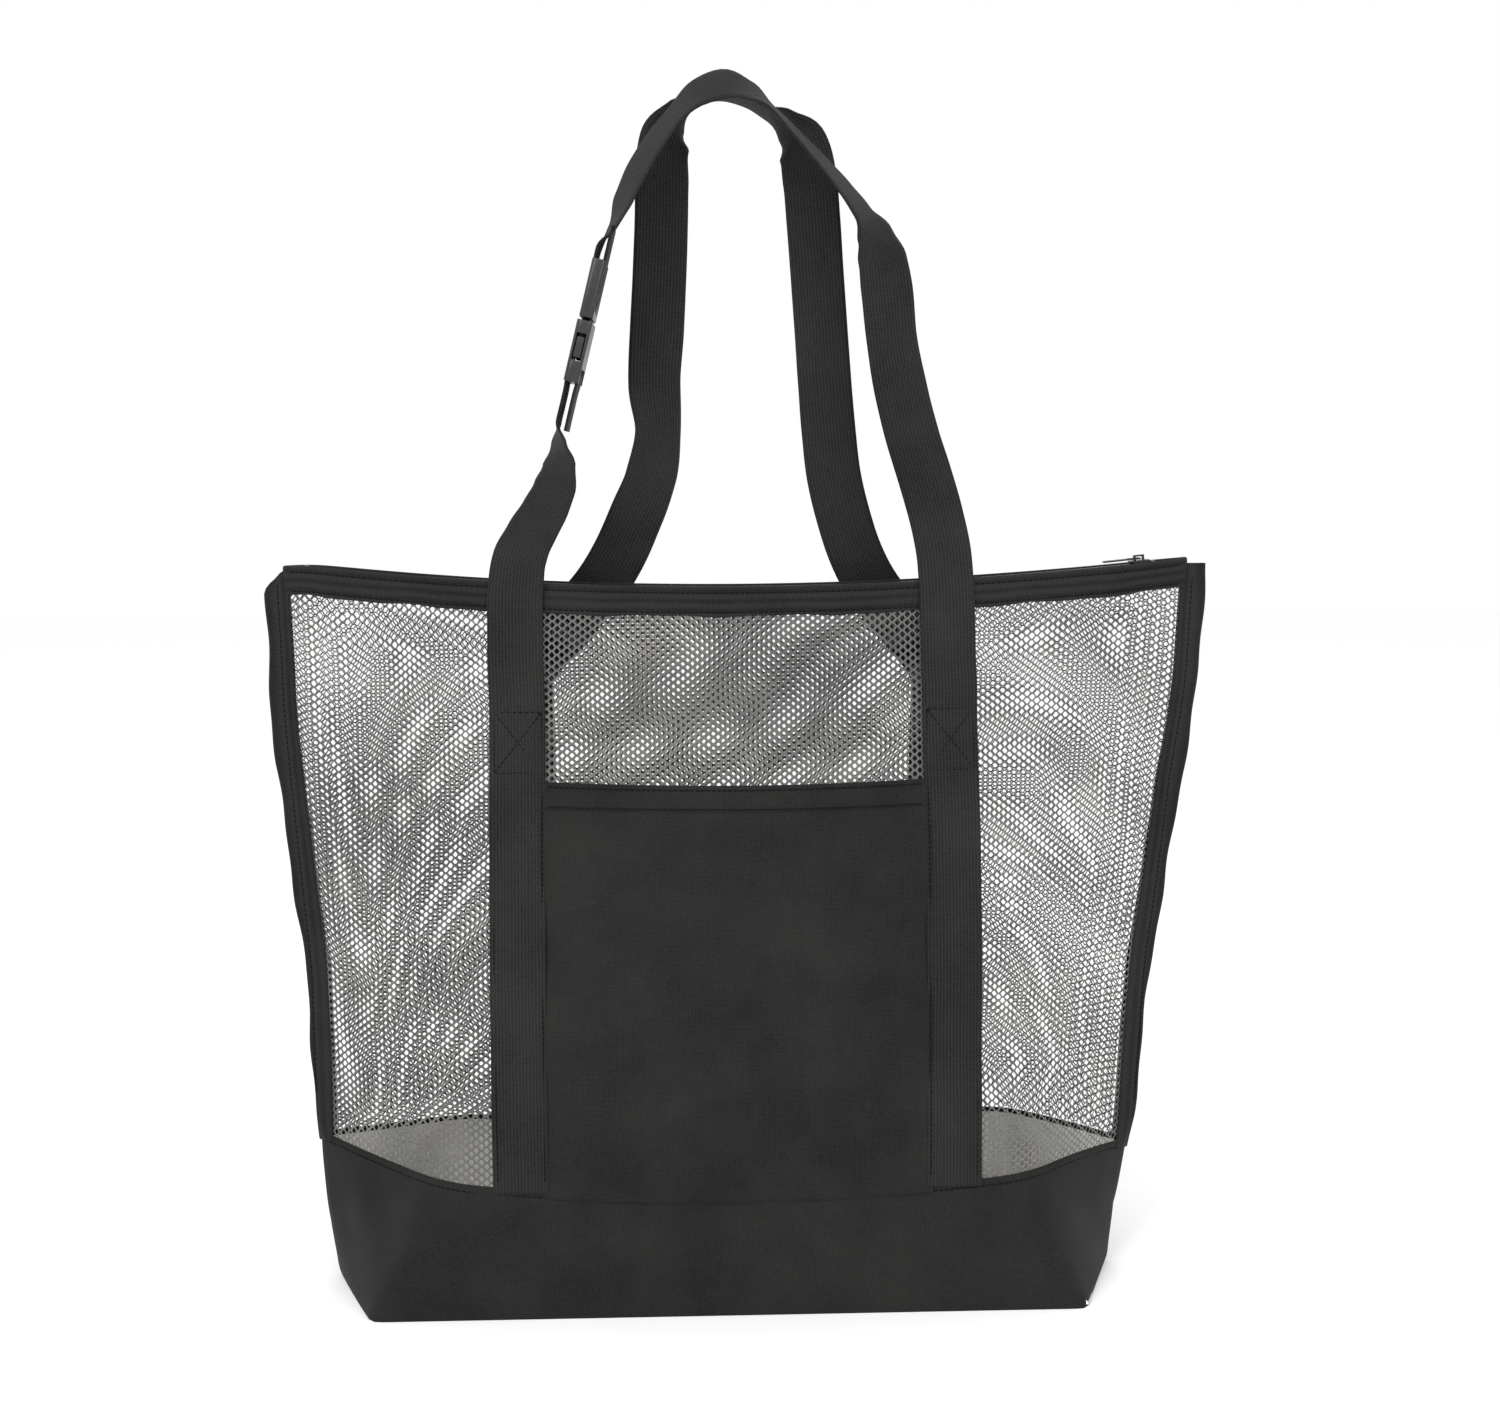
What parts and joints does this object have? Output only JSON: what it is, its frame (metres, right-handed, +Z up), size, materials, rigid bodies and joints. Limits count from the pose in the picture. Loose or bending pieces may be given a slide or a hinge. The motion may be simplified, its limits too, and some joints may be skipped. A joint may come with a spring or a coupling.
{
  "type": "beach bag",
  "caption": "Open-weave mesh beach tote with a boxed fabric base, zipped mouth, front pocket and webbing handles joined by a side-release buckle.",
  "frame": {"origin": "centre of the underside of the base", "axes": "+Z up through the mouth, the pocket faces -Y, +X to the right seen from the front"},
  "size_m": [0.6012, 0.1505, 0.7761],
  "materials": {
    "mesh": "open knitted mesh, satin filament",
    "base_fabric": "plain woven polyester, matt",
    "webbing": "ribbed webbing, slight sheen",
    "binding": "ribbed tape, matt",
    "thread": "thread, slight sheen",
    "board": "matt sheet",
    "zip_plastic": "moulded, satin",
    "zip_metal": "black painted, satin",
    "buckle_plastic": "moulded acetal, satin"
  },
  "bodies": {
    "bag": {"base_shell": "base_fabric", "base_board": "board", "front_mesh_panel": "mesh", "back_mesh_panel": "mesh", "front_pocket": "base_fabric", "pocket_hem": "binding", "left_side_binding": "binding", "right_side_binding": "binding", "front_hem_binding": "binding", "back_hem_binding": "binding", "zip_tape_front": "binding", "zip_tape_back": "binding", "zip_teeth_front": "zip_plastic", "zip_teeth_back": "zip_plastic", "zip_stop_left": "zip_plastic", "zip_stop_right": "zip_plastic", "front_strap_left": "webbing", "front_strap_right": "webbing", "back_strap_left": "webbing", "back_strap_right": "webbing", "box_stitches": "thread"},
    "front_handle": {"front_handle_lower_strap": "webbing", "front_handle_upper_strap": "webbing", "buckle_socket": "buckle_plastic", "buckle_plug": "buckle_plastic"},
    "back_handle": {"back_handle_strap": "webbing"},
    "zip_slider": {"zip_slider": "zip_metal"},
    "zip_pull": {"zip_pull": "zip_metal"},
    "buckle_prong_front": {"buckle_prong_front": "buckle_plastic"},
    "buckle_prong_rear": {"buckle_prong_rear": "buckle_plastic"}
  },
  "joints": [
    {"name": "front_handle_swing", "type": "hinge", "parent": "bag", "child": "front_handle", "pos_m": [0, -0.02852, 0.385], "axis": [1, 0, 0], "range_deg": [0, 150]},
    {"name": "back_handle_swing", "type": "hinge", "parent": "bag", "child": "back_handle", "pos_m": [0, 0.02852, 0.385], "axis": [-1, 0, 0], "range_deg": [0, 150]},
    {"name": "zip_run", "type": "hinge", "parent": "bag", "child": "zip_slider", "pos_m": [0, 0, 3.01173], "axis": [0, 1, 0], "range_deg": [0, 11.55]},
    {"name": "zip_pull_flip", "type": "hinge", "parent": "zip_slider", "child": "zip_pull", "pos_m": [0.26156, 0, 0.47123], "axis": [0, 1, 0], "range_deg": [0, 150]},
    {"name": "prong_front_press", "type": "hinge", "parent": "front_handle", "child": "buckle_prong_front", "pos_m": [-0.0905, -0.026, 0.61948], "axis": [0.9703, 0, -0.2419], "range_deg": [0, 16], "stiffness_Nm_per_rad": 0.05},
    {"name": "prong_rear_press", "type": "hinge", "parent": "front_handle", "child": "buckle_prong_rear", "pos_m": [-0.0905, 0.002, 0.61948], "axis": [-0.9703, 0, 0.2419], "range_deg": [0, 16], "stiffness_Nm_per_rad": 0.05}
  ],
  "couplings": [
    {"joint": "prong_rear_press", "follows": "prong_front_press", "ratio": 1}
  ]
}
